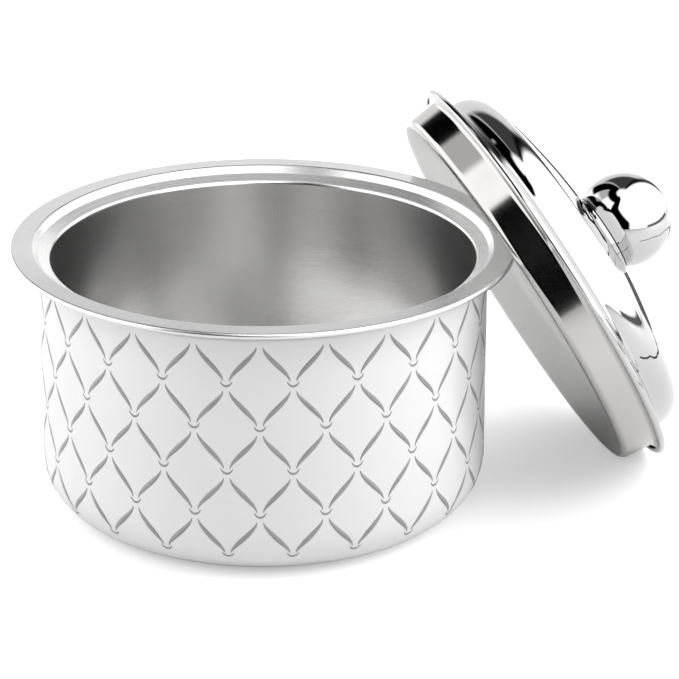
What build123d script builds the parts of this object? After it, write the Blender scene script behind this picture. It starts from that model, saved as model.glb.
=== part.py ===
from build123d import *
import math
import os

# Insulated serving casserole: a double-walled pot and its loose plug lid.
# Millimetres, +Z up. The origin is the centre of the pot's base on the table.
# The lid has been lifted off: it stands on the table and leans on the pot's rim towards +X.

# ---- pot: liner with the rim flange and the lid seat ----
pot_height = 115.0           # table to the top of the rim flange
mouth_radius = 90.0          # inner face of the bowl just below the lid seat
mouth_drop = 5.4             # flange top to the bowl's mouth
mouth_round = 1.8
seat_width = 5.3             # the sloping lid seat, from the mouth outwards
seat_drop = 3.0              # flange top to the outer edge of the seat
seat_foot_round = 0.5
step_width = 2.1             # the steep step from the seat up to the flange
step_round = 1.2
rim_width = 9.6              # the flat flange, from the step to its outer edge
rim_hem_height = 2.4         # height of its folded edge
rim_hem_return = 3.6         # how far the edge is folded back underneath
rim_edge_round = 1.1
bowl_draft = 6.0             # how much narrower the wall is where it meets the floor
bowl_corner = 16.0
bowl_floor_height = 14.0     # table to the bowl's floor
liner_sheet = 0.6            # stainless sheet

# ---- pot: outer shell ----
wall_space = 5.0             # bowl's mouth to the outer face of the painted shell
body_corner = 21.0           # outer radius of the rounded lower edge
shell_sheet = 0.6            # painted steel sheet
shell_top_drop = 7.0         # flange top to the shell's turned-in top lip
shell_top_lip = 3.4          # width of that lip
shell_top_round = 1.2
rest_ring_width = 8.0        # the flat ring that the pot rests on
base_step_width = 12.0       # from that ring in to the opening in the base
base_recess = 3.0            # height of the step around the base cover
base_round = 1.2

# ---- pot: base cover and the plug of its foaming hole ----
cover_margin = 0.5           # radial clearance of the cover in the base recess
cover_sheet = 1.6
cover_spigot_height = 5.0    # the collar that stands up through the opening
cover_spigot_wall = 1.6
cover_spigot_clearance = 0.3
fill_hole_radius = 7.0
fill_plug_lap = 3.0          # how far the plug's head reaches past the hole
fill_plug_head = 0.9
fill_plug_length = 4.0
fill_plug_clearance = 0.1

# ---- lid, in its own frame: +Z along its axis, height 0 under the tray's flange ----
lid_sheet = 0.6              # both sheets of the lid
plug_clearance = 0.8         # top of the plug wall to the bowl's mouth
plug_draft = 7.0             # degrees that the plug wall leans in towards its foot
plug_depth = 15.5            # flange to the bottom ring
plug_corner = 3.2
flange_root_round = 2.5
ring_width = 5.5             # the bottom ring, from the plug wall in to the hollow
ring_corner = 12.0
hollow_width = 34.0          # the slope of the hollow, from the ring in to the flat middle
panel_rise = 11.5            # flat middle above the bottom ring
panel_corner = 40.0
edge_clearance = 0.9         # outer edge of the lid to the outer edge of the seat
edge_height = 2.65           # thickness of its folded edge
edge_return = 3.0            # how far the dome's sheet is folded under the tray's flange
edge_round = 1.2
edge_gap = 0.1               # between the sheets in the folded edge
dome_crown_radius = 250.0    # spherical crown
dome_shoulder_round = 13.0
dome_foot_inset = 10.8       # edge of the lid in to the dome's upright foot
dome_foot_height = 4.9       # where the foot turns out into the skirt
dome_upright = 2.17          # the foot's straight part, up to the shoulder
dome_foot_round = 1.6

# ---- knob ----
knob_radius = 20.8
knob_flat_drop = 11.1        # centre of the ball to the flat under it
knob_sheet = 0.9
collar_sheet = 0.7
collar_rise = 0.6            # the collar's lip around the ball above the knob's flat
collar_ball_gap = 0.15
collar_corner = 0.2
gasket_thickness = 0.5
gasket_width = 10.75
stud_radius = 3.0
stud_clearance = 0.25        # radial, in the holes it passes through
thread_clearance = 0.05      # radial, in the boss and the nut
stud_engagement = 11.0       # above the knob's flat
boss_wall = 3.5
boss_end = 2.5               # solid metal above the stud's end
boss_disc_sheet = 1.0
boss_disc_gap = 0.05
washer_lap = 6.0             # past the stud
washer_thickness = 1.2
stiffener_lap = 15.0         # past the washer
stiffener_sheet = 1.2
spring_washer_lap = 3.1      # past the stud
spring_washer_thickness = 1.4
spring_washer_split = 1.2
nut_wall = 2.0               # stud to the middle of a flat
nut_height = 5.0
stud_below_nut = 2.0

# ---- clearances ----
foam_gap = 0.15              # between foam and the sheets around it
seal_gap = 0.05
stack_gap = 0.02             # between parts clamped on the stud
lean_gap = 0.3               # between the leaning lid and the pot's rim

# ---- how the lid stands ----
lean_angle = 60.8            # the lid's axis from the vertical
lean_side = 10.6             # the lid's middle to one side of the plane through the pot's axis

# ---- radii, levels and places worked out from the sizes above ----
seat_outer_radius = mouth_radius + seat_width
flange_inner_radius = seat_outer_radius + step_width
rim_radius = flange_inner_radius + rim_width
bowl_floor_radius = mouth_radius - bowl_draft
body_radius = mouth_radius + wall_space
rest_ring_inner = body_radius - body_corner - rest_ring_width
base_opening = rest_ring_inner - base_step_width
plug_radius = mouth_radius - plug_clearance
plug_lean = math.radians(plug_draft)
plug_foot_radius = plug_radius - plug_depth * math.tan(plug_lean)
plug_corner_share = math.tan(math.pi / 4 - plug_lean / 2)
ring_inner_radius = plug_foot_radius - ring_width
panel_radius = ring_inner_radius - hollow_width
edge_radius = seat_outer_radius - edge_clearance
dome_foot_radius = edge_radius - dome_foot_inset
seat_top = pot_height - seat_drop
mouth_top = pot_height - mouth_drop
shell_top = pot_height - shell_top_drop
bowl_wall_slope = math.atan2(mouth_radius - bowl_floor_radius, mouth_top - bowl_floor_height)
seat_slope = math.atan2(seat_top - mouth_top, seat_outer_radius - mouth_radius)
cover_low = base_recess - cover_sheet
ring_bottom = -plug_depth
panel_bottom = ring_bottom + panel_rise
hollow_slope = math.atan2(panel_rise, hollow_width)
edge_low = -lid_sheet - edge_gap
shoulder_radius = dome_foot_radius - dome_shoulder_round
shoulder_height = dome_foot_height + dome_upright
shoulder_angle = math.asin(shoulder_radius / (dome_crown_radius - dome_shoulder_round))
crown_centre = shoulder_height - (dome_crown_radius - dome_shoulder_round) * math.cos(shoulder_angle)
dome_height = crown_centre + dome_crown_radius
knob_flat = dome_height + gasket_thickness + collar_sheet
knob_centre = knob_flat + knob_flat_drop
stud_hole = stud_radius + stud_clearance
washer_radius = stud_radius + washer_lap
stiffener_radius = washer_radius + stiffener_lap
spring_washer_radius = stud_radius + spring_washer_lap
nut_corner_radius = (stud_radius + nut_wall) * 2 / math.sqrt(3)


def bowl_wall_radius(height, out):
    """Radius of the bowl's wall at a height, a distance out from its inner face."""
    inner = bowl_floor_radius + (height - bowl_floor_height) * math.tan(bowl_wall_slope)
    return inner + out / math.cos(bowl_wall_slope)


def seat_underside(radius):
    """Height of the underside of the sloping lid seat at a radius."""
    top = mouth_top + (radius - mouth_radius) * math.tan(seat_slope)
    return top - liner_sheet / math.cos(seat_slope)


def crown_height(radius, depth):
    """Height of the dome's crown at a radius, a depth below its outer face."""
    return crown_centre + math.sqrt((dome_crown_radius - depth) ** 2 - radius**2)


# ---- ways of making the solids ----

def turned(points, radii=0):
    """A solid of revolution from a closed outline of (radius, height) points."""
    with BuildSketch(Plane.XZ) as sketch:
        with BuildLine():
            FilletPolyline(*points, radius=radii, close=True)
        make_face()
    return revolve(sketch.sketch, axis=Axis.Z)


def sheet(points, radii, thickness, side):
    """A revolved sheet: an open path of (radius, height) points with a wall on one side."""
    with BuildSketch(Plane.XZ) as sketch:
        with BuildLine():
            FilletPolyline(*points, radius=radii)
            offset(amount=thickness, side=side)
        make_face()
    return revolve(sketch.sketch, axis=Axis.Z)


def disc(radius, low, high):
    """A plain cylinder on the Z axis between two heights."""
    return Pos(0, 0, low) * Cylinder(radius, high - low, align=(Align.CENTER, Align.CENTER, Align.MIN))


def washer(hole, radius, low, high):
    """A flat ring on the Z axis between two heights."""
    return disc(radius, low, high) - disc(hole, low, high)


# ---- the pot ----

def outer_shell():
    points = [
        (body_radius - shell_top_lip, shell_top),
        (body_radius, shell_top),
        (body_radius, 0),
        (rest_ring_inner, 0),
        (rest_ring_inner, base_recess),
        (base_opening, base_recess),
    ]
    radii = [shell_top_round, body_corner, base_round, base_round]
    return sheet(points, radii, shell_sheet, Side.RIGHT)


def inner_bowl():
    hem_low = pot_height - rim_hem_height
    points = [
        (0, bowl_floor_height),
        (bowl_floor_radius, bowl_floor_height),
        (mouth_radius, mouth_top),
        (seat_outer_radius, seat_top),
        (flange_inner_radius, pot_height),
        (rim_radius, pot_height),
        (rim_radius, hem_low),
        (rim_radius - rim_hem_return, hem_low),
    ]
    radii = [bowl_corner, mouth_round, seat_foot_round, step_round, rim_edge_round, rim_edge_round]
    return sheet(points, radii, liner_sheet, Side.RIGHT)


def rim_seal():
    inner = body_radius - shell_top_lip
    outer = body_radius - shell_top_round
    low = shell_top + seal_gap
    points = [
        (inner, low),
        (outer, low),
        (outer, seat_underside(outer) - seal_gap),
        (inner, seat_underside(inner) - seal_gap),
    ]
    return turned(points)


def body_foam():
    wall = shell_sheet + foam_gap
    lining = liner_sheet + foam_gap
    spigot_outer = base_opening - cover_spigot_clearance + foam_gap
    spigot_inner = base_opening - cover_spigot_clearance - cover_spigot_wall - foam_gap
    spigot_top = base_recess + cover_spigot_height + foam_gap
    plug_side = fill_hole_radius + foam_gap
    plug_top = cover_low + fill_plug_length + foam_gap
    top = shell_top - wall
    floor = bowl_floor_height - lining
    points = [
        (0, plug_top),
        (plug_side, plug_top),
        (plug_side, base_recess + foam_gap),
        (spigot_inner, base_recess + foam_gap),
        (spigot_inner, spigot_top),
        (spigot_outer, spigot_top),
        (spigot_outer, base_recess + wall),
        (rest_ring_inner + wall, base_recess + wall),
        (rest_ring_inner + wall, wall),
        (body_radius - wall, wall),
        (body_radius - wall, top),
        (bowl_wall_radius(top, lining), top),
        (bowl_wall_radius(floor, lining), floor),
        (0, floor),
    ]
    radii = [0] * len(points)
    radii[8] = base_round
    radii[9] = body_corner - wall
    radii[10] = shell_top_round
    radii[12] = bowl_corner + lining
    return turned(points, radii)


def base_cover():
    outer = rest_ring_inner - cover_margin
    spigot_outer = base_opening - cover_spigot_clearance
    spigot_inner = spigot_outer - cover_spigot_wall
    spigot_top = base_recess + cover_spigot_height
    points = [
        (fill_hole_radius, cover_low),
        (outer, cover_low),
        (outer, base_recess),
        (spigot_outer, base_recess),
        (spigot_outer, spigot_top),
        (spigot_inner, spigot_top),
        (spigot_inner, base_recess),
        (fill_hole_radius, base_recess),
    ]
    return turned(points, [0, 0, base_round, 0, 0, 0, 0, 0])


def base_fill_plug():
    head = disc(fill_hole_radius + fill_plug_lap, cover_low - fill_plug_head, cover_low)
    return head + disc(fill_hole_radius - fill_plug_clearance, cover_low, cover_low + fill_plug_length)


# ---- the lid, modelled around its own axis ----

def dome_arcs(depth):
    """The crown and the shoulder of the dome, a depth below the outer face."""
    turn = math.degrees(shoulder_angle)
    CenterArc((0, crown_centre), dome_crown_radius - depth, 90, -turn)
    CenterArc((shoulder_radius, shoulder_height), dome_shoulder_round - depth, 90 - turn, turn - 90)


def lid_dome():
    points = [
        (dome_foot_radius, shoulder_height),
        (dome_foot_radius, dome_foot_height),
        (edge_radius, edge_low + edge_height),
        (edge_radius, edge_low),
        (edge_radius - edge_return, edge_low),
    ]
    with BuildSketch(Plane.XZ) as sketch:
        with BuildLine():
            dome_arcs(0)
            FilletPolyline(*points, radius=[dome_foot_round, edge_round, edge_round])
            offset(amount=lid_sheet, side=Side.RIGHT)
        make_face()
    shell = revolve(sketch.sketch, axis=Axis.Z)
    return shell - disc(stud_hole, 0, knob_flat)


def lid_tray():
    points = [
        (0, panel_bottom),
        (panel_radius, panel_bottom),
        (ring_inner_radius, ring_bottom),
        (plug_foot_radius, ring_bottom),
        (plug_radius, 0),
        (edge_radius - edge_round, 0),
    ]
    radii = [panel_corner, ring_corner, plug_corner, flange_root_round]
    return sheet(points, radii, lid_sheet, Side.LEFT)


def lid_foam():
    wall = lid_sheet + foam_gap
    slope_shift = wall * math.tan(hollow_slope / 2)
    foot_side = plug_foot_radius - wall * plug_corner_share
    plug_side = plug_radius - wall / math.cos(plug_lean)
    dome_side = dome_foot_radius - wall
    step = wall + foam_gap
    points = [
        (0, panel_bottom + wall),
        (panel_radius + slope_shift, panel_bottom + wall),
        (ring_inner_radius + slope_shift, ring_bottom + wall),
        (foot_side, ring_bottom + wall),
        (plug_side, 0),
        (dome_side, step),
        (0, step),
    ]
    radii = [0, panel_corner + wall, ring_corner - wall, plug_corner - wall, 0, 0, 0]
    lower = turned(points, radii)
    with BuildSketch(Plane.XZ) as sketch:
        with BuildLine():
            dome_arcs(wall)
            Polyline((dome_side, shoulder_height), (dome_side, step), (0, step), (0, dome_height - wall))
        make_face()
    foam = lower + revolve(sketch.sketch, axis=Axis.Z)
    return foam - knob_stack_pocket()


def knob_stack():
    """Heights under the dome: stiffener, washer, spring washer, nut and stud end, from the top."""
    stiffener_low = crown_height(washer_radius, lid_sheet + stack_gap + stiffener_sheet)
    washer_low = stiffener_low - stack_gap - washer_thickness
    spring_low = washer_low - stack_gap - spring_washer_thickness
    nut_low = spring_low - stack_gap - nut_height
    return stiffener_low, washer_low, spring_low, nut_low, nut_low - stud_below_nut


def knob_stack_pocket():
    """The room in the lid's foam for the knob's fixings."""
    stiffener_low, washer_low, spring_low, nut_low, stud_low = knob_stack()
    rim_low = crown_height(stiffener_radius, lid_sheet + stack_gap + stiffener_sheet)
    pocket = disc(stiffener_radius + foam_gap, rim_low - foam_gap, dome_height)
    pocket += disc(washer_radius + foam_gap, washer_low - foam_gap, dome_height)
    pocket += disc(spring_washer_radius + foam_gap, spring_low - foam_gap, dome_height)
    pocket += disc(nut_corner_radius + foam_gap, nut_low - foam_gap, dome_height)
    return pocket + disc(stud_radius + foam_gap, stud_low - foam_gap, dome_height)


def knob_gasket():
    return washer(stud_hole, stud_hole + gasket_width, dome_height, dome_height + gasket_thickness)


def knob_collar():
    """A shallow dish: its flat carries the ball, its lip follows the ball up."""
    reach = knob_radius + collar_ball_gap
    foot = math.sqrt(reach**2 - knob_flat_drop**2)
    lip = math.sqrt(reach**2 - (knob_flat_drop - collar_rise) ** 2)
    points = [(stud_hole, knob_flat), (foot, knob_flat), (lip, knob_flat + collar_rise)]
    return sheet(points, [collar_corner], collar_sheet, Side.RIGHT)


def knob_ball():
    ball = Pos(0, 0, knob_centre) * (Sphere(knob_radius) - Sphere(knob_radius - knob_sheet))
    return ball - disc(knob_radius, knob_centre - knob_radius, knob_flat)


def knob_boss_disc():
    inner = math.sqrt((knob_radius - knob_sheet - boss_disc_gap) ** 2 - knob_flat_drop**2)
    return washer(stud_hole, inner, knob_flat, knob_flat + boss_disc_sheet)


def knob_boss():
    low = knob_flat + boss_disc_sheet
    stud_top = knob_flat + stud_engagement
    boss = disc(stud_radius + thread_clearance + boss_wall, low, stud_top + boss_end)
    return boss - disc(stud_radius + thread_clearance, low, stud_top + stack_gap)


def knob_stud():
    return disc(stud_radius, knob_stack()[4], knob_flat + stud_engagement)


def knob_stiffener():
    """A thin cap that follows the underside of the crown."""
    top = lid_sheet + stack_gap
    low = top + stiffener_sheet
    middle = (stud_hole + stiffener_radius) / 2
    with BuildSketch(Plane.XZ) as sketch:
        with BuildLine():
            upper = ThreePointArc(*[(r, crown_height(r, top)) for r in (stud_hole, middle, stiffener_radius)])
            lower = ThreePointArc(*[(r, crown_height(r, low)) for r in (stud_hole, middle, stiffener_radius)])
            Line(upper @ 0, lower @ 0)
            Line(upper @ 1, lower @ 1)
        make_face()
    return revolve(sketch.sketch, axis=Axis.Z)


def knob_washer():
    stiffener_low, washer_low = knob_stack()[:2]
    return washer(stud_hole, washer_radius, washer_low, stiffener_low - stack_gap)


def knob_spring_washer():
    washer_low, spring_low = knob_stack()[1:3]
    split_ring = washer(stud_hole, spring_washer_radius, spring_low, washer_low - stack_gap)
    cut = Box(spring_washer_radius, spring_washer_split, spring_washer_thickness, align=Align.MIN)
    return split_ring - Pos(stud_radius, -spring_washer_split / 2, spring_low) * cut


def knob_nut():
    spring_low, nut_low = knob_stack()[2:4]
    hexagon = RegularPolygon(nut_corner_radius, 6)
    nut = extrude(Pos(0, 0, nut_low) * hexagon, spring_low - stack_gap - nut_low)
    return nut - disc(stud_radius + thread_clearance, nut_low, spring_low)


# ---- where the lid stands ----

def lid_place():
    """The lid leans towards +X: its plug and edge on the table, its middle against the rim."""
    lean = math.radians(lean_angle)
    across = math.sin(lean)
    up = math.cos(lean)
    corner_middle = plug_foot_radius - plug_corner * plug_corner_share
    plug_reach = corner_middle * across - (ring_bottom + plug_corner) * up + plug_corner
    edge_reach = (edge_radius - edge_round) * across - (edge_low + edge_round) * up + edge_round
    height = max(plug_reach, edge_reach)
    rim_reach = (
        (rim_radius - rim_edge_round) * across + (pot_height - rim_edge_round) * up + rim_edge_round
    )
    offset_out = (rim_reach + lean_gap - panel_bottom - height * up) / across
    return Location((offset_out, lean_side, height), (0, lean_angle, 0))


pot_parts = [outer_shell, inner_bowl, rim_seal, body_foam, base_cover, base_fill_plug]
lid_parts = [
    lid_dome,
    lid_tray,
    lid_foam,
    knob_gasket,
    knob_collar,
    knob_ball,
    knob_boss_disc,
    knob_boss,
    knob_stud,
    knob_stiffener,
    knob_washer,
    knob_spring_washer,
    knob_nut,
]


def main():
    os.makedirs("parts", exist_ok=True)
    for make in pot_parts:
        export_step(make(), f"parts/{make.__name__}.step")
    place = lid_place()
    print("lid stands at", place.position)
    for make in lid_parts:
        export_step(place * make(), f"parts/{make.__name__}.step")


main()
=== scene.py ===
import math
import bmesh
import bpy
from mathutils import Matrix, Vector


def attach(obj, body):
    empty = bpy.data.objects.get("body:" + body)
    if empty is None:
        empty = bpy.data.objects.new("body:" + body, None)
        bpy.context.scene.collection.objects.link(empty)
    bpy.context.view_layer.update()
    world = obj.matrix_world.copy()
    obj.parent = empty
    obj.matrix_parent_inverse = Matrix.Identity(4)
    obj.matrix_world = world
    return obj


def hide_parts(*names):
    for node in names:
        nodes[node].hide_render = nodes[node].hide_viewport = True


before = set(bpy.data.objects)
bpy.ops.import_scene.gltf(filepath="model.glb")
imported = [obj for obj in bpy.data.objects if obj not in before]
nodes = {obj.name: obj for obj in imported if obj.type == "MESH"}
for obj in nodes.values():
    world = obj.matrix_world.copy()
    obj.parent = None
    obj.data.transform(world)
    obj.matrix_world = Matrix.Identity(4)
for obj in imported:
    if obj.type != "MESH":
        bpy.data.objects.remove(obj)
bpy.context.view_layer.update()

mm = 0.001
scene = bpy.context.scene
print("frame loaded:", len(nodes), "nodes")


# ---- helpers: outlines, turned pieces and finished objects ----

roundSteps = 8          # edges in a rounded corner
turnSteps = 240         # faces round a turned piece
knobTurnSteps = 144     # faces round the ball and its collar
weldReach = 0.002       # vertices nearer than this after a turn are one, in millimetres


def arcFrom(bm, vert, centre, angle, steps):
    # swings a vertex about a (radius, height) centre, clockwise from above the centre to the right
    made = bmesh.ops.spin(
        bm, geom=[vert], cent=(centre[0] * mm, 0, centre[1] * mm), axis=(0, 1, 0), dvec=(0, 0, 0),
        angle=angle, steps=steps, use_merge=False, use_duplicate=False,
    )
    return made["geom_last"][0]


def pathThrough(bm, corners, start=None):
    # edges through (radius, height, round) points in millimetres, each corner rounded by a bevel
    points = [Vector((radius, 0, height)) * mm for radius, height, _ in corners]
    verts = [bm.verts.new(point) for point in points]
    if start:
        points.insert(0, start.co.copy())
        verts.insert(0, start)
        corners = [(0, 0, 0)] + list(corners)
    for low, high in zip(verts, verts[1:]):
        bm.edges.new((low, high))
    for i in range(1, len(verts) - 1):
        if corners[i][2] > 0:
            before = points[i] - points[i - 1]
            after = points[i + 1] - points[i]
            reach = corners[i][2] * mm * math.tan(before.angle(after) / 2)
            bmesh.ops.bevel(
                bm, geom=[verts[i]], offset=reach, offset_type="OFFSET", segments=roundSteps,
                profile=0.5, affect="VERTICES", material=-1, clamp_overlap=False,
            )


def turnAround(bm, steps=turnSteps):
    # one full turn about the Z axis, with the poles closed
    bmesh.ops.spin(
        bm, geom=bm.verts[:] + bm.edges[:], cent=(0, 0, 0), axis=(0, 0, 1), dvec=(0, 0, 0),
        angle=math.tau, steps=steps, use_merge=True, use_duplicate=False,
    )
    bmesh.ops.remove_doubles(bm, verts=bm.verts[:], dist=weldReach * mm)


def faceOut(bm, inside):
    # turns all faces of a connected sheet the way of the first one that points away from a place
    bmesh.ops.recalc_face_normals(bm, faces=bm.faces[:])
    bm.faces.ensure_lookup_table()
    face = max(bm.faces, key=lambda f: (f.calc_center_median() - inside).length)
    if face.normal.dot(face.calc_center_median() - inside) < 0:
        bmesh.ops.reverse_faces(bm, faces=bm.faces[:])


def addPiece(name, bm, body, material, replaced=(), wall=0.0, side=-1, weighted=True):
    mesh = bpy.data.meshes.new(name)
    bm.to_mesh(mesh)
    bm.free()
    mesh.shade_smooth()
    mesh.materials.append(material)
    piece = bpy.data.objects.new(name, mesh)
    scene.collection.objects.link(piece)
    if wall:
        solid = piece.modifiers.new("wall", "SOLIDIFY")
        solid.thickness = wall * mm
        solid.offset = side
        solid.use_even_offset = True
    if weighted:
        normals = piece.modifiers.new("flats", "WEIGHTED_NORMAL")
        normals.mode = "FACE_AREA_WITH_ANGLE"
        normals.keep_sharp = True
    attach(piece, body)
    if replaced:
        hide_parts(*replaced)
    return piece


# ---- helpers: materials ----

def newMaterial(name):
    material = bpy.data.materials.new(name)
    material.use_nodes = True
    material.node_tree.nodes.clear()
    tree = material.node_tree
    output = tree.nodes.new("ShaderNodeOutputMaterial")
    shader = tree.nodes.new("ShaderNodeBsdfPrincipled")
    tree.links.new(shader.outputs["BSDF"], output.inputs["Surface"])
    return material, tree, shader


def addNode(tree, kind, values=None, **settings):
    node = tree.nodes.new(kind)
    for key, value in settings.items():
        setattr(node, key, value)
    for key, value in (values or {}).items():
        node.inputs[key].default_value = value
    return node


def newGroup(name, inputs, outputs):
    group = bpy.data.node_groups.new(name, "ShaderNodeTree")
    for label, kind, value in inputs:
        socket = group.interface.new_socket(name=label, in_out="INPUT", socket_type=kind)
        if value is not None:
            socket.default_value = value
    for label, kind in outputs:
        group.interface.new_socket(name=label, in_out="OUTPUT", socket_type=kind)
    return group, group.nodes.new("NodeGroupInput"), group.nodes.new("NodeGroupOutput")


def turnedGrainGroup():
    # polishing lines that run round an axis, and the haze of wiping and handling over them
    group, ins, outs = newGroup(
        "turnedGrain",
        [
            ("Vector", "NodeSocketVector", None),
            ("Lines Per Metre", "NodeSocketFloat", 2500.0),
            ("Haze Scale", "NodeSocketFloat", 30.0),
        ],
        [("Lines", "NodeSocketFloat"), ("Haze", "NodeSocketFloat")],
    )
    link = group.links.new
    split = addNode(group, "ShaderNodeSeparateXYZ")
    flat = addNode(group, "ShaderNodeCombineXYZ")
    reach = addNode(group, "ShaderNodeVectorMath", operation="LENGTH")
    link(ins.outputs["Vector"], split.inputs[0])
    link(split.outputs["X"], flat.inputs["X"])
    link(split.outputs["Y"], flat.inputs["Y"])
    link(flat.outputs[0], reach.inputs[0])
    ring = addNode(group, "ShaderNodeCombineXYZ")
    link(reach.outputs["Value"], ring.inputs["X"])
    link(split.outputs["Z"], ring.inputs["Z"])
    # a slow drift along the turn keeps the lines from being perfect circles
    drift = addNode(group, "ShaderNodeTexNoise", {"Scale": 14.0, "Detail": 1.0})
    link(ins.outputs["Vector"], drift.inputs["Vector"])
    driftSize = addNode(group, "ShaderNodeMath", {1: 0.0012}, operation="MULTIPLY")
    link(drift.outputs["Fac"], driftSize.inputs[0])
    link(driftSize.outputs[0], ring.inputs["Y"])
    lines = addNode(group, "ShaderNodeTexNoise", {"Detail": 3.0, "Roughness": 0.6})
    link(ring.outputs[0], lines.inputs["Vector"])
    link(ins.outputs["Lines Per Metre"], lines.inputs["Scale"])
    haze = addNode(group, "ShaderNodeTexNoise", {"Detail": 4.0, "Roughness": 0.55, "Distortion": 0.3})
    link(ins.outputs["Vector"], haze.inputs["Vector"])
    link(ins.outputs["Haze Scale"], haze.inputs["Scale"])
    link(lines.outputs["Fac"], outs.inputs["Lines"])
    link(haze.outputs["Fac"], outs.inputs["Haze"])
    return group


def speckleGroup():
    # a fine pebbled skin for paint, ink, rubber and moulded plastic
    group, ins, outs = newGroup(
        "speckle",
        [
            ("Vector", "NodeSocketVector", None),
            ("Grain Scale", "NodeSocketFloat", 1500.0),
            ("Patch Scale", "NodeSocketFloat", 25.0),
        ],
        [("Grain", "NodeSocketFloat"), ("Patch", "NodeSocketFloat")],
    )
    link = group.links.new
    grain = addNode(group, "ShaderNodeTexNoise", {"Detail": 2.0, "Roughness": 0.5})
    patch = addNode(group, "ShaderNodeTexNoise", {"Detail": 3.0, "Roughness": 0.5})
    link(ins.outputs["Vector"], grain.inputs["Vector"])
    link(ins.outputs["Vector"], patch.inputs["Vector"])
    link(ins.outputs["Grain Scale"], grain.inputs["Scale"])
    link(ins.outputs["Patch Scale"], patch.inputs["Scale"])
    link(grain.outputs["Fac"], outs.inputs["Grain"])
    link(patch.outputs["Fac"], outs.inputs["Patch"])
    return group


turnedGrain = turnedGrainGroup()
speckle = speckleGroup()

lidStand = {"lean": 60.8, "outward": 129.393, "side": 10.6, "height": 82.933}      # degrees and millimetres

lidPlace = Matrix.Translation(Vector((lidStand["outward"], lidStand["side"], lidStand["height"])) * mm)
lidPlace = lidPlace @ Matrix.Rotation(math.radians(lidStand["lean"]), 4, "Y")


def placedVector(tree, onLid):
    # object coordinates about the pot's axis, or about the lid's own axis
    where = addNode(tree, "ShaderNodeTexCoord")
    if not onLid:
        return where.outputs["Object"]
    turn = addNode(tree, "ShaderNodeMapping", vector_type="TEXTURE")
    turn.inputs["Location"].default_value = lidPlace.to_translation()
    turn.inputs["Rotation"].default_value = lidPlace.to_euler()
    tree.links.new(where.outputs["Object"], turn.inputs["Vector"])
    return turn.outputs[0]


def rangeOf(tree, source, low, high):
    # maps the middle of a noise to low..high
    node = addNode(tree, "ShaderNodeMapRange", {"From Min": 0.3, "From Max": 0.7, "To Min": low, "To Max": high})
    tree.links.new(source, node.inputs["Value"])
    return node.outputs["Result"]


def mixOf(tree, factor, low, high):
    node = addNode(tree, "ShaderNodeMix", data_type="RGBA")
    node.inputs["A"].default_value = (*low, 1)
    node.inputs["B"].default_value = (*high, 1)
    tree.links.new(factor, node.inputs["Factor"])
    return node.outputs["Result"]


def steelMaterial(name, look, onLid=False):
    material, tree, shader = newMaterial(name)
    link = tree.links.new
    grain = addNode(tree, "ShaderNodeGroup", node_tree=turnedGrain)
    link(placedVector(tree, onLid), grain.inputs["Vector"])
    grain.inputs["Lines Per Metre"].default_value = look["lines"]
    grain.inputs["Haze Scale"].default_value = look["hazeScale"]
    shader.inputs["Metallic"].default_value = look.get("metal", 1.0)
    haze = rangeOf(tree, grain.outputs["Haze"], 0.0, 1.0)
    link(mixOf(tree, haze, look["colour"], look["hazeColour"]), shader.inputs["Base Color"])
    lineShare = rangeOf(tree, grain.outputs["Lines"], 0.0, look["lineRoughness"])
    hazeShare = rangeOf(tree, grain.outputs["Haze"], look["roughness"], look["roughness"] + look["hazeRoughness"])
    total = addNode(tree, "ShaderNodeMath", operation="ADD")
    link(lineShare, total.inputs[0])
    link(hazeShare, total.inputs[1])
    link(total.outputs[0], shader.inputs["Roughness"])
    bump = addNode(tree, "ShaderNodeBump", {"Strength": look["lineDepth"], "Distance": 0.0001})
    link(grain.outputs["Lines"], bump.inputs["Height"])
    link(bump.outputs[0], shader.inputs["Normal"])
    return material


def skinMaterial(name, look):
    material, tree, shader = newMaterial(name)
    link = tree.links.new
    skin = addNode(tree, "ShaderNodeGroup", node_tree=speckle)
    link(placedVector(tree, False), skin.inputs["Vector"])
    skin.inputs["Grain Scale"].default_value = look["grainScale"]
    skin.inputs["Patch Scale"].default_value = look["patchScale"]
    patch = rangeOf(tree, skin.outputs["Patch"], 0.0, 1.0)
    link(mixOf(tree, patch, look["colour"], look["patchColour"]), shader.inputs["Base Color"])
    link(rangeOf(tree, skin.outputs["Patch"], *look["roughness"]), shader.inputs["Roughness"])
    shader.inputs["Coat Weight"].default_value = look.get("coat", 0.0)
    shader.inputs["Coat Roughness"].default_value = look.get("coatRoughness", 0.1)
    bump = addNode(tree, "ShaderNodeBump", {"Strength": look["depth"], "Distance": look["distance"]})
    link(skin.outputs["Grain"], bump.inputs["Height"])
    link(bump.outputs[0], shader.inputs["Normal"])
    return material


# ---- materials ----

satinSteelLook = {
    "colour": (0.88, 0.88, 0.882), "hazeColour": (0.83, 0.83, 0.832), "roughness": 0.20, "hazeRoughness": 0.05,
    "lineRoughness": 0.05, "lines": 3200.0, "hazeScale": 22.0, "lineDepth": 0.25,
}
bowlSteelLook = {
    "colour": (0.80, 0.798, 0.795), "hazeColour": (0.76, 0.757, 0.753), "roughness": 0.15, "hazeRoughness": 0.04,
    "lineRoughness": 0.05, "lines": 2600.0, "hazeScale": 18.0, "lineDepth": 0.3,
}
# the ledge's steel is only 0.7 metal, so its white base colour shows as a painted sheen that makes the ledge pale
ledgeSteelLook = {
    "colour": (0.90, 0.898, 0.895), "hazeColour": (0.85, 0.848, 0.845), "roughness": 0.22, "hazeRoughness": 0.05,
    "lineRoughness": 0.08, "lines": 3000.0, "hazeScale": 18.0, "lineDepth": 0.3, "metal": 0.7,
}
mirrorSteelLook = {
    "colour": (0.61, 0.61, 0.61), "hazeColour": (0.59, 0.59, 0.59), "roughness": 0.015, "hazeRoughness": 0.02,
    "lineRoughness": 0.01, "lines": 4000.0, "hazeScale": 16.0, "lineDepth": 0.008,
}
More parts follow.
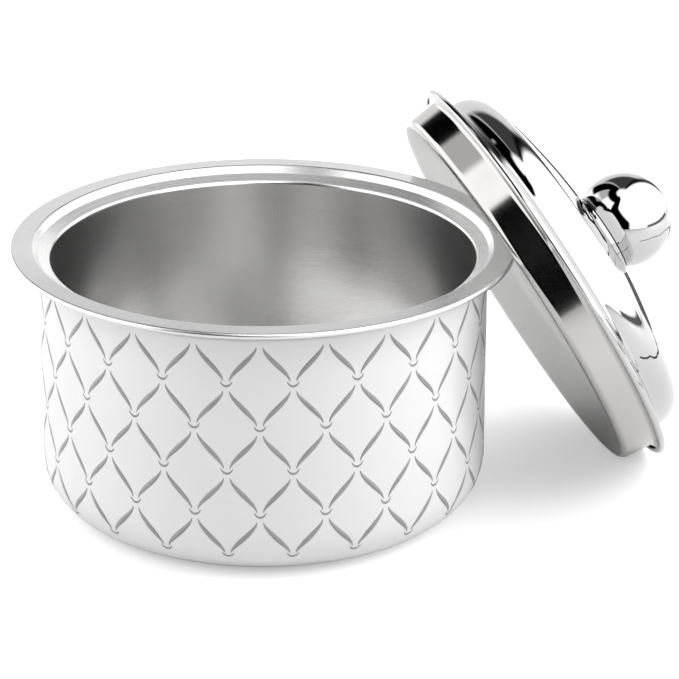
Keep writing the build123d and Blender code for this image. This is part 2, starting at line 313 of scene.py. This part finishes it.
traySteelLook = {
    "colour": (0.57, 0.562, 0.556), "hazeColour": (0.54, 0.532, 0.526), "roughness": 0.07, "hazeRoughness": 0.03,
    "lineRoughness": 0.03, "lines": 3400.0, "hazeScale": 16.0, "lineDepth": 0.03,
}
# the lid's underside: a rougher satin finish, with a darker colour that is painted shade under the lid
undersideSatinShadeLook = {
    "colour": (0.46, 0.458, 0.455), "hazeColour": (0.42, 0.418, 0.415), "roughness": 0.26, "hazeRoughness": 0.05,
    "lineRoughness": 0.06, "lines": 2800.0, "hazeScale": 14.0, "lineDepth": 0.2,
}
zincLook = {
    "colour": (0.62, 0.63, 0.65), "hazeColour": (0.50, 0.51, 0.52), "roughness": 0.32, "hazeRoughness": 0.12,
    "lineRoughness": 0.06, "lines": 5000.0, "hazeScale": 180.0, "lineDepth": 0.2,
}
paintLook = {
    "colour": (0.84, 0.84, 0.84), "patchColour": (0.825, 0.825, 0.825), "roughness": (0.30, 0.34),
    "grainScale": 900.0, "patchScale": 14.0, "depth": 0.05, "distance": 0.0001, "coat": 0.25, "coatRoughness": 0.12,
}
inkLook = {
    "colour": (0.30, 0.30, 0.30), "patchColour": (0.35, 0.35, 0.35), "roughness": (0.34, 0.42),
    "grainScale": 2600.0, "patchScale": 120.0, "depth": 0.12, "distance": 0.00005, "coat": 0.15,
}
rubberLook = {
    "colour": (0.030, 0.030, 0.031), "patchColour": (0.045, 0.045, 0.046), "roughness": (0.62, 0.78),
    "grainScale": 2200.0, "patchScale": 60.0, "depth": 0.3, "distance": 0.00008,
}
mouldedLook = {
    "colour": (0.72, 0.72, 0.71), "patchColour": (0.67, 0.67, 0.66), "roughness": (0.48, 0.6),
    "grainScale": 1700.0, "patchScale": 30.0, "depth": 0.45, "distance": 0.0001,
}
foamLook = {
    "colour": (0.80, 0.72, 0.46), "patchColour": (0.70, 0.60, 0.34), "roughness": (0.85, 0.95),
    "grainScale": 1100.0, "patchScale": 70.0, "depth": 0.8, "distance": 0.0004,
}

satinSteel = steelMaterial("satinSteel", satinSteelLook)
bowlSteel = steelMaterial("bowlSteel", bowlSteelLook)
ledgeSteel = steelMaterial("ledgeSteel", ledgeSteelLook)
domeSteel = steelMaterial("domeSteel", mirrorSteelLook, onLid=True)
traySteel = steelMaterial("traySteel", traySteelLook, onLid=True)
undersideSatinShade = steelMaterial("undersideSatinShade", undersideSatinShadeLook, onLid=True)
zincSteel = steelMaterial("zincSteel", zincLook, onLid=True)
whitePaint = skinMaterial("whitePaint", paintLook)
greyInk = skinMaterial("greyInk", inkLook)
sealRubber = skinMaterial("sealRubber", rubberLook)
mouldedPlastic = skinMaterial("mouldedPlastic", mouldedLook)
rigidFoam = skinMaterial("rigidFoam", foamLook)
print("materials ready")


# ---- the pot ----

shellSize = {
    "radius": 95.0, "top": 108.0, "lip": 3.4, "topRound": 1.2, "corner": 21.0, "ringInner": 66.0,
    "recess": 3.0, "opening": 54.0, "baseRound": 1.2, "sheet": 0.6,
}


def outerShell():
    s = shellSize
    bm = bmesh.new()
    pathThrough(bm, [
        (s["radius"] - s["lip"], s["top"], 0),
        (s["radius"], s["top"], s["topRound"]),
        (s["radius"], 0, s["corner"]),
        (s["ringInner"], 0, s["baseRound"]),
        (s["ringInner"], s["recess"], s["baseRound"]),
        (s["opening"], s["recess"], 0),
    ])
    turnAround(bm)
    faceOut(bm, Vector((0, 0, s["top"] / 2 * mm)))
    return addPiece("white_shell", bm, "pot", whitePaint, ["outer_shell"], s["sheet"])


bowlSize = {
    "height": 115.0, "rim": 107.0, "hemHeight": 2.4, "hemReturn": 3.6, "hemRound": 1.1,
    "flangeInner": 97.4, "stepRound": 1.2, "seatOuter": 95.3, "seatDrop": 3.0, "seatRound": 0.5,
    "mouth": 90.0, "mouthDrop": 5.4, "mouthRound": 1.8, "floorRadius": 84.0, "floor": 14.0, "corner": 16.0,
    "sheet": 0.6, "paintedSheenFrom": 90.4, "satinDepth": 0.1,
}


def innerBowl():
    s = bowlSize
    top = s["height"]
    bm = bmesh.new()
    pathThrough(bm, [
        (0, s["floor"], 0),
        (s["floorRadius"], s["floor"], s["corner"]),
        (s["mouth"], top - s["mouthDrop"], s["mouthRound"]),
        (s["seatOuter"], top - s["seatDrop"], s["seatRound"]),
        (s["flangeInner"], top, s["stepRound"]),
        (s["rim"], top, s["hemRound"]),
        (s["rim"], top - s["hemHeight"], s["hemRound"]),
        (s["rim"] - s["hemReturn"], top - s["hemHeight"], 0),
    ])
    turnAround(bm)
    faceOut(bm, Vector((0, 0, top / 2 * mm)))
    piece = addPiece("steel_bowl", bm, "pot", satinSteel, ["inner_bowl"], s["sheet"])
    piece.data.materials.append(bowlSteel)
    piece.data.materials.append(ledgeSteel)
    # the flange is satin, the ledge where the lid sits is made pale by a painted sheen (steel only part metal, with
    # a white base colour), and the bowl is polished
    for face in piece.data.polygons:
        middle = face.center
        reach = math.hypot(middle.x, middle.y)
        if reach < s["flangeInner"] * mm and middle.z < (top - s["satinDepth"]) * mm:
            face.material_index = 2 if reach > s["paintedSheenFrom"] * mm else 1
    return piece


outerShell()
innerBowl()
print("pot made")


# ---- the trellis printed round the shell ----

trellis = {
    "columns": 22, "rowPitch": 19.2, "topRow": 106.6, "rows": 5, "phase": -106.30,
    "gap": 1.35, "start": 1.9, "end": 2.4, "bend": 3.6, "thick": 2.05, "thin": 0.3,
    "smileWidth": 5.0, "smileDrop": 2.2, "smileThick": 1.0, "smileTip": 0.1, "smileAt": -0.2, "smileSpread": 0.6,
    "leafSwell": 1.2, "smileSwell": 0.7, "proud": 0.04, "sink": 0.05, "steps": 14,
}


def onShell(across, down, out):
    # a place on the shell, from a distance round it and a distance down its side from the first row
    s = shellSize
    straight = trellis["topRow"] - s["corner"]
    if down < straight:
        radius, height = s["radius"] + out, trellis["topRow"] - down
    else:
        angle = (down - straight) / s["corner"]
        radius = s["radius"] - s["corner"] + (s["corner"] + out) * math.cos(angle)
        height = s["corner"] - (s["corner"] + out) * math.sin(angle)
    turn = across / s["radius"] + math.radians(trellis["phase"])
    return Vector((radius * math.cos(turn), radius * math.sin(turn), height)) * mm


def bezier(points, t):
    a, b, c, d = (Vector(p) for p in points)
    u = 1 - t
    place = a * u**3 + b * 3 * u * u * t + c * 3 * u * t * t + d * t**3
    along = (b - a) * 3 * u * u + (c - b) * 6 * u * t + (d - c) * 3 * t * t
    return place, along.normalized()


def addStroke(bm, control, thickness):
    # a strip of ink that follows a bezier, as wide as thickness says at each place along it
    made = bmesh.ops.create_grid(bm, x_segments=trellis["steps"], y_segments=1, size=0.5)
    for vert in made["verts"]:
        t = vert.co.x + 0.5
        side = 1 if vert.co.y > 0 else -1
        place, along = bezier(control, t)
        across = Vector((-along.y, along.x)) * side * thickness(t) / 2
        vert.co = onShell(place.x + across.x, place.y + across.y, -trellis["sink"])


def trellisPrint():
    t = trellis
    pitch = math.tau * shellSize["radius"] / t["columns"]
    half = pitch / 2

    def leaf(u):
        return t["thin"] + (t["thick"] - t["thin"]) * math.sin(math.pi * u) ** t["leafSwell"]

    def smile(u):
        return t["smileTip"] + (t["smileThick"] - t["smileTip"]) * math.sin(math.pi * u) ** t["smileSwell"]

    bm = bmesh.new()
    for row in range(t["rows"]):
        shift = half * (row % 2)
        low = row * t["rowPitch"] + t["start"]
        high = (row + 1) * t["rowPitch"] - t["end"]
        for side in (-1, 1):
            near = shift + side * t["gap"]
            far = shift + side * (half - t["gap"])
            control = [(near, low), (near, low + t["bend"]), (far, high - t["bend"]), (far, high)]
            addStroke(bm, control, leaf)
        middle = shift + half
        bottom = (row + 1) * t["rowPitch"] + t["smileAt"]
        edge = t["smileWidth"] / 2
        inner = edge * t["smileSpread"]
        top = bottom - t["smileDrop"]
        dip = bottom + t["smileDrop"] / 3
        control = [(middle - edge, top), (middle - inner, dip), (middle + inner, dip), (middle + edge, top)]
        addStroke(bm, control, smile)
    step = math.tau / t["columns"]
    bmesh.ops.spin(
        bm, geom=bm.verts[:] + bm.edges[:] + bm.faces[:], cent=(0, 0, 0), axis=(0, 0, 1), dvec=(0, 0, 0),
        angle=math.tau - step, steps=t["columns"] - 1, use_duplicate=True, use_merge=False,
    )
    axis = Vector((0, 0, shellSize["radius"] / 2 * mm))
    for face in bm.faces:
        if face.normal.dot(face.calc_center_median() - axis) < 0:
            face.normal_flip()
    return addPiece(
        "trellis_print", bm, "pot", greyInk,
        wall=t["sink"] + t["proud"], side=1, weighted=False,
    )


trellisPrint()
print("trellis printed")


# ---- the lid ----

domeSize = {
    "height": 30.83, "crown": 250.0, "shoulder": 13.0, "foot": 83.6, "footHeight": 4.9, "footRound": 1.6,
    "edge": 94.4, "edgeTop": 1.95, "edgeLow": -0.7, "edgeRound": 1.2, "edgeReturn": 3.0, "sheet": 0.6,
    "crownSteps": 26, "shoulderSteps": 18,
}


def lidDome():
    s = domeSize
    centre = s["height"] - s["crown"]
    turn = math.asin((s["foot"] - s["shoulder"]) / (s["crown"] - s["shoulder"]))
    shoulderAt = (s["foot"] - s["shoulder"], centre + (s["crown"] - s["shoulder"]) * math.cos(turn))
    bm = bmesh.new()
    top = bm.verts.new((0, 0, s["height"] * mm))
    crownEnd = arcFrom(bm, top, (0, centre), turn, s["crownSteps"])
    foot = arcFrom(bm, crownEnd, shoulderAt, math.pi / 2 - turn, s["shoulderSteps"])
    pathThrough(bm, [
        (s["foot"], s["footHeight"], s["footRound"]),
        (s["edge"], s["edgeTop"], s["edgeRound"]),
        (s["edge"], s["edgeLow"], s["edgeRound"]),
        (s["edge"] - s["edgeReturn"], s["edgeLow"], 0),
    ], start=foot)
    turnAround(bm)
    faceOut(bm, Vector((0, 0, 0)))
    bmesh.ops.transform(bm, matrix=lidPlace, verts=bm.verts[:])
    return addPiece("mirror_dome", bm, "lid", domeSteel, ["lid_dome"], s["sheet"])


traySize = {
    "panel": -4.0, "panelRadius": 47.8, "panelCorner": 40.0, "ringInner": 81.8, "ringCorner": 12.0, "ring": -15.5,
    "plug": 89.2, "plugFoot": 87.297, "plugCorner": 3.2, "rootRound": 2.5, "flange": 93.2, "sheet": 0.6,
}


def lidTray():
    s = traySize
    bm = bmesh.new()
    pathThrough(bm, [
        (0, s["panel"], 0),
        (s["panelRadius"], s["panel"], s["panelCorner"]),
        (s["ringInner"], s["ring"], s["ringCorner"]),
        (s["plugFoot"], s["ring"], s["plugCorner"]),
        (s["plug"], 0, s["rootRound"]),
        (s["flange"], 0, 0),
    ])
    turnAround(bm)
    faceOut(bm, Vector((0, 0, s["plugCorner"] * mm)))
    # the underside is satin steel, from the plug's corner in, and its darker colour is painted shade under the lid
    for face in bm.faces:
        middle = face.calc_center_median()
        if math.hypot(middle.x, middle.y) < (s["plugFoot"] - s["plugCorner"] / 2) * mm and middle.z < 0:
            face.material_index = 1
    bmesh.ops.transform(bm, matrix=lidPlace, verts=bm.verts[:])
    piece = addPiece("steel_tray", bm, "lid", traySteel, ["lid_tray"], s["sheet"])
    piece.data.materials.append(undersideSatinShade)
    return piece


knobSize = {
    "ball": 20.8, "centre": 43.13, "flat": 32.03, "sheet": 0.9, "flatInner": 3.25, "ballSteps": 44,
    "collarRise": 0.6, "skirtOut": 1.03, "collarSheet": 0.28,
    "collarGap": 0.02, "dishOut": 0.26, "dishRound": 0.15, "lipIn": 0.24, "lipDrop": 0.33, "lipRound": 0.12,
}


def knobBall():
    s = knobSize
    sweep = math.pi - math.acos((s["centre"] - s["flat"]) / s["ball"])
    bm = bmesh.new()
    top = bm.verts.new((0, 0, (s["centre"] + s["ball"]) * mm))
    low = arcFrom(bm, top, (0, s["centre"]), sweep, s["ballSteps"])
    pathThrough(bm, [(s["flatInner"], s["flat"], 0)], start=low)
    turnAround(bm, knobTurnSteps)
    faceOut(bm, Vector((0, 0, s["centre"] * mm)))
    bmesh.ops.transform(bm, matrix=lidPlace, verts=bm.verts[:])
    return addPiece("ball_knob", bm, "lid", domeSteel, ["knob_ball"], s["sheet"])


def knobCollar():
    # a thin dish under the ball, turned down outside to the dome
    s = knobSize
    drop = s["centre"] - s["flat"]
    foot = math.sqrt(s["ball"]**2 - drop**2)
    skirt = foot + s["skirtOut"]
    dome = domeSize["height"] - skirt**2 / (2 * domeSize["crown"])
    low = s["flat"] - s["collarSheet"] - s["collarGap"]
    bm = bmesh.new()
    pathThrough(bm, [
        (s["flatInner"], low, 0),
        (foot + s["dishOut"], low, s["dishRound"]),
        (skirt - s["lipIn"], s["flat"] + s["collarRise"] - s["lipDrop"], s["lipRound"]),
        (skirt, dome + s["collarGap"], 0),
    ])
    turnAround(bm, knobTurnSteps)
    faceOut(bm, Vector((0, 0, s["centre"] * mm)))
    bmesh.ops.transform(bm, matrix=lidPlace, verts=bm.verts[:])
    return addPiece("knob_dish", bm, "lid", domeSteel, ["knob_collar"], s["collarSheet"])


lidDome()
lidTray()
knobBall()
knobCollar()
print("lid made")


# ---- pieces kept from the frame ----

finishes = {
    "rim_seal": sealRubber, "knob_gasket": sealRubber,
    "body_foam": rigidFoam, "lid_foam": rigidFoam,
    "base_cover": mouldedPlastic, "base_fill_plug": mouldedPlastic,
    "knob_boss_disc": zincSteel, "knob_boss": zincSteel, "knob_stud": zincSteel, "knob_stiffener": zincSteel,
    "knob_washer": zincSteel, "knob_spring_washer": zincSteel, "knob_nut": zincSteel,
}
for nodeName, finish in finishes.items():
    nodes[nodeName].data.materials.clear()
    nodes[nodeName].data.materials.append(finish)
print("finishes given to", len(finishes), "kept pieces")


# ---- floor, backdrop, lights and camera ----

floorLook = {
    "radius": 30.0, "sides": 96, "colour": 0.80, "fibre": 0.995, "fibreScale": 3.0, "roughness": 0.9, "glow": 0.36,
}


def addFloor():
    bm = bmesh.new()
    bmesh.ops.create_circle(bm, cap_ends=True, segments=floorLook["sides"], radius=floorLook["radius"])
    mesh = bpy.data.meshes.new("floor")
    bm.to_mesh(mesh)
    bm.free()
    floor = bpy.data.objects.new("floor", mesh)
    scene.collection.objects.link(floor)
    material, tree, shader = newMaterial("floorPaper")
    link = tree.links.new
    paper = addNode(tree, "ShaderNodeTexNoise", {"Scale": floorLook["fibreScale"], "Detail": 2.0})
    tone = floorLook["colour"]
    fibre = tone * floorLook["fibre"]
    link(mixOf(tree, paper.outputs["Fac"], (tone,) * 3, (fibre,) * 3), shader.inputs["Base Color"])
    shader.inputs["Roughness"].default_value = floorLook["roughness"]
    shader.inputs["Specular IOR Level"].default_value = 0.0
    # what the camera sees is lifted to white, and the shadow stays
    seen = addNode(tree, "ShaderNodeLightPath")
    glow = addNode(tree, "ShaderNodeMath", {1: floorLook["glow"]}, operation="MULTIPLY")
    link(seen.outputs["Is Camera Ray"], glow.inputs[0])
    link(glow.outputs[0], shader.inputs["Emission Strength"])
    shader.inputs["Emission Color"].default_value = (1, 1, 1, 1)
    # seen from underneath the floor is clear
    facing = addNode(tree, "ShaderNodeNewGeometry")
    clear = addNode(tree, "ShaderNodeMath", {0: 1.0}, operation="SUBTRACT")
    link(facing.outputs["Backfacing"], clear.inputs[1])
    link(clear.outputs[0], shader.inputs["Alpha"])
    mesh.materials.append(material)


worldLook = {"seen": 1.0, "ambient": 0.60}


def addWorld():
    world = bpy.data.worlds.new("studio")
    scene.world = world
    world.use_nodes = True
    tree = world.node_tree
    tree.nodes.clear()
    link = tree.links.new
    output = tree.nodes.new("ShaderNodeOutputWorld")
    back = addNode(tree, "ShaderNodeBackground", {"Color": (1, 1, 1, 1)})
    seen = addNode(tree, "ShaderNodeLightPath")
    direct = addNode(tree, "ShaderNodeMath", operation="MAXIMUM")
    link(seen.outputs["Is Camera Ray"], direct.inputs[0])
    link(seen.outputs["Is Glossy Ray"], direct.inputs[1])
    strength = addNode(tree, "ShaderNodeMapRange", {"To Min": worldLook["ambient"], "To Max": worldLook["seen"]})
    link(direct.outputs[0], strength.inputs["Value"])
    link(strength.outputs["Result"], back.inputs["Strength"])
    link(back.outputs[0], output.inputs["Surface"])


# azimuth 0 is the side that faces -Y and 90 is +X, in degrees; sizes and distances in metres
softboxes = {
    "left": {"azimuth": -105.5, "elevation": 30, "distance": 1.3, "size": (1.0, 1.1), "power": 8.6},
    "right": {"azimuth": 64.5, "elevation": 35, "distance": 1.4, "size": (0.9, 1.0), "power": 13.2},
    "back": {"azimuth": 148.5, "elevation": 22, "distance": 1.4, "size": (1.0, 1.0), "power": 18.0},
}


def around(azimuth, elevation, distance, aim=(0.04, 0, 0.06)):
    # a place seen from the object at an azimuth and an elevation in degrees
    a, e = math.radians(azimuth), math.radians(elevation)
    away = Vector((math.sin(a) * math.cos(e), -math.cos(a) * math.cos(e), math.sin(e)))
    place = Vector(aim) + away * distance
    return place, away.to_track_quat("Z", "Y").to_matrix().to_4x4()


def addSoftboxes():
    for name, box in softboxes.items():
        data = bpy.data.lights.new("softbox_" + name, "AREA")
        data.shape = "RECTANGLE"
        data.size, data.size_y = box["size"]
        data.energy = box["power"]
        lamp = bpy.data.objects.new("softbox_" + name, data)
        place, turn = around(box["azimuth"], box["elevation"], box["distance"])
        lamp.matrix_world = Matrix.Translation(place) @ turn
        lamp.visible_glossy = False      # the tent below is what the steel reflects
        scene.collection.objects.link(lamp)


# a tent round the object that only the steel's reflections see: white, with darker patches;
# each patch is a span of azimuth, with its lower and upper edge in elevation at both ends of the span
tentLook = {"radius": 1.9, "centre": (0.06, 0, 0.08), "glow": 1.7, "segments": 64, "rings": 40}
tentPatches = {
    "frontUpright": {"azimuth": (-62, -38), "low": (-20, -20), "high": (80, 72), "depth": 1.0, "blur": 4.0},
    "frontSlant": {"azimuth": (-62, -4), "low": (-20, -20), "high": (72, 14), "depth": 1.0, "blur": 6.0},
    "topBand": {"azimuth": (-156, -50), "low": (59, 59), "high": (77, 77), "depth": 1.0, "blur": 5.0},
    "leftDark": {"azimuth": (-176, -149), "low": (11, 27), "high": (77, 77), "depth": 1.0, "blur": 6.0},
    "leftGrey": {"azimuth": (-150, -112), "low": (36, 44), "high": (62, 62), "depth": 0.6, "blur": 10.0},
    "backHigh": {"azimuth": (134, 183), "low": (28, 28), "high": (78, 78), "depth": 0.96, "blur": 11.0},
    "backEdge": {"azimuth": (132, 142), "low": (-20, -20), "high": (78, 78), "depth": 0.95, "blur": 7.0},
    "backLow": {"azimuth": (136, 184), "low": (-20, -20), "high": (32, 32), "depth": 0.42, "blur": 8.0},
    "horizonRight": {"azimuth": (40, 102), "low": (-20, -20), "high": (1.5, 1.5), "depth": 0.9, "blur": 2.0},
}


def softPatchGroup():
    # 1 inside a patch of the sky and 0 outside, with blurred edges
    labels = [
        "Azimuth", "Elevation", "Middle", "Half Width",
        "Low Left", "Low Right", "High Left", "High Right", "Blur",
    ]
    group, ins, outs = newGroup(
        "softPatch", [(label, "NodeSocketFloat", 0.0) for label in labels], [("Mask", "NodeSocketFloat")],
    )
    link = group.links.new

    def math2(operation, a, b=0):
        node = addNode(group, "ShaderNodeMath", operation=operation)
        for i, source in enumerate((a, b)):
            if isinstance(source, (int, float)):
                node.inputs[i].default_value = source
            else:
                link(source, node.inputs[i])
        return node.outputs[0]

    def softStep(distance):
        share = math2("DIVIDE", distance, ins.outputs["Blur"])
        span = {"From Min": -0.5, "From Max": 0.5}
        node = addNode(group, "ShaderNodeMapRange", span, interpolation_type="SMOOTHSTEP")
        link(share, node.inputs["Value"])
        return node.outputs["Result"]

    def edge(left, right, along):
        climb = math2("SUBTRACT", ins.outputs[right], ins.outputs[left])
        return math2("ADD", ins.outputs[left], math2("MULTIPLY", climb, along))

    away = math2("SUBTRACT", ins.outputs["Azimuth"], ins.outputs["Middle"])
    wrap = addNode(group, "ShaderNodeMath", {1: 180.0, 2: -180.0}, operation="WRAP")
    link(away, wrap.inputs[0])
    reach = wrap.outputs[0]
    along = math2("ADD", math2("DIVIDE", math2("MULTIPLY", reach, 0.5), ins.outputs["Half Width"]), 0.5)
    sides = softStep(math2("SUBTRACT", ins.outputs["Half Width"], math2("ABSOLUTE", reach)))
    over = softStep(math2("SUBTRACT", ins.outputs["Elevation"], edge("Low Left", "Low Right", along)))
    under = softStep(math2("SUBTRACT", edge("High Left", "High Right", along), ins.outputs["Elevation"]))
    link(math2("MULTIPLY", sides, math2("MULTIPLY", over, under)), outs.inputs["Mask"])
    return group


def hideFromAllButGloss(piece):
    piece.visible_camera = False
    piece.visible_diffuse = False
    piece.visible_shadow = False
    piece.visible_transmission = False


def addTent():
    look = tentLook
    bm = bmesh.new()
    bmesh.ops.create_uvsphere(bm, u_segments=look["segments"], v_segments=look["rings"], radius=look["radius"])
    bmesh.ops.translate(bm, vec=Vector(look["centre"]), verts=bm.verts[:])
    mesh = bpy.data.meshes.new("tent")
    bm.to_mesh(mesh)
    bm.free()
    mesh.shade_smooth()
    tent = bpy.data.objects.new("tent", mesh)
    scene.collection.objects.link(tent)
    material = bpy.data.materials.new("tentCloth")
    material.use_nodes = True
    tree = material.node_tree
    tree.nodes.clear()
    link = tree.links.new
    where = addNode(tree, "ShaderNodeTexCoord")
    turn = addNode(tree, "ShaderNodeMapping", {"Location": look["centre"]}, vector_type="TEXTURE")
    link(where.outputs["Object"], turn.inputs["Vector"])
    split = addNode(tree, "ShaderNodeSeparateXYZ")
    link(turn.outputs[0], split.inputs[0])
    toDegrees = math.degrees(1)
    back = addNode(tree, "ShaderNodeMath", {1: -1.0}, operation="MULTIPLY")
    link(split.outputs["Y"], back.inputs[0])
    angle = addNode(tree, "ShaderNodeMath", operation="ARCTAN2")
    link(split.outputs["X"], angle.inputs[0])
    link(back.outputs[0], angle.inputs[1])
    azimuth = addNode(tree, "ShaderNodeMath", {1: toDegrees}, operation="MULTIPLY")
    link(angle.outputs[0], azimuth.inputs[0])
    rise = addNode(tree, "ShaderNodeMath", {1: look["radius"]}, operation="DIVIDE")
    link(split.outputs["Z"], rise.inputs[0])
    lift = addNode(tree, "ShaderNodeMath", operation="ARCSINE")
    link(rise.outputs[0], lift.inputs[0])
    elevation = addNode(tree, "ShaderNodeMath", {1: toDegrees}, operation="MULTIPLY")
    link(lift.outputs[0], elevation.inputs[0])
    softPatch = softPatchGroup()
    glow = None
    for patch in tentPatches.values():
        left, right = patch["azimuth"]
        mask = addNode(tree, "ShaderNodeGroup", node_tree=softPatch)
        link(azimuth.outputs[0], mask.inputs["Azimuth"])
        link(elevation.outputs[0], mask.inputs["Elevation"])
        values = {
            "Middle": (left + right) / 2, "Half Width": (right - left) / 2, "Low Left": patch["low"][0],
            "Low Right": patch["low"][1], "High Left": patch["high"][0], "High Right": patch["high"][1],
            "Blur": patch["blur"],
        }
        for label, value in values.items():
            mask.inputs[label].default_value = value
        kept = addNode(tree, "ShaderNodeMapRange", {"To Min": 1.0, "To Max": 1.0 - patch["depth"]})
        link(mask.outputs["Mask"], kept.inputs["Value"])
        product = addNode(tree, "ShaderNodeMath", {1: look["glow"]}, operation="MULTIPLY")
        link(kept.outputs["Result"], product.inputs[0])
        if glow:
            link(glow, product.inputs[1])
        glow = product.outputs[0]
    shine = addNode(tree, "ShaderNodeEmission")
    link(glow, shine.inputs["Strength"])
    output = tree.nodes.new("ShaderNodeOutputMaterial")
    link(shine.outputs[0], output.inputs["Surface"])
    mesh.materials.append(material)
    hideFromAllButGloss(tent)


# the far edge of the table, a dark line in the dome: a flat strip behind the lid and a low lip beside it
tableEdge = {
    "strip": [(0.295, 0.165), (0.36, 0.165), (0.425, 0.60), (0.285, 0.60)], "stripHeight": 0.0005,
    "lip": [(0.36, 0.17), (0.42, 0.14), (0.43, 0.03), (0.335, -0.114), (0.224, -0.149)], "lipHeight": 0.006,
}


def addTableEdge():
    t = tableEdge
    bm = bmesh.new()
    corners = [bm.verts.new((x, y, t["stripHeight"])) for x, y in t["strip"]]
    bmesh.ops.contextual_create(bm, geom=corners)
    lip = [bm.verts.new((x, y, 0)) for x, y in t["lip"]]
    edges = [bm.edges.new((low, high)) for low, high in zip(lip, lip[1:])]
    made = bmesh.ops.extrude_edge_only(bm, edges=edges)
    moved = [item for item in made["geom"] if isinstance(item, bmesh.types.BMVert)]
    bmesh.ops.translate(bm, vec=Vector((0, 0, t["lipHeight"])), verts=moved)
    mesh = bpy.data.meshes.new("table_edge")
    bm.to_mesh(mesh)
    bm.free()
    edge = bpy.data.objects.new("table_edge", mesh)
    scene.collection.objects.link(edge)
    mesh.materials.append(sealRubber)
    hideFromAllButGloss(edge)


cameraView = {
    "aim": (0.03212, -0.00557, 0.06849), "distance": 1.5, "azimuth": -16.59, "elevation": 21.978, "roll": 0.262,
    "lens": 185.42, "sensor": 36.0, "reach": 100.0,
}


def addCamera():
    v = cameraView
    data = bpy.data.cameras.new("camera")
    data.lens = v["lens"]
    data.sensor_width = v["sensor"]
    data.clip_end = v["reach"]
    camera = bpy.data.objects.new("camera", data)
    place, turn = around(v["azimuth"], v["elevation"], v["distance"], v["aim"])
    roll = Matrix.Rotation(math.radians(v["roll"]), 4, "Z")
    camera.matrix_world = Matrix.Translation(place) @ turn @ roll
    scene.collection.objects.link(camera)
    scene.camera = camera


addFloor()
addWorld()
addSoftboxes()
addTent()
addTableEdge()
addCamera()
scene.view_settings.view_transform = "Standard"
print("stage, lights and camera ready")
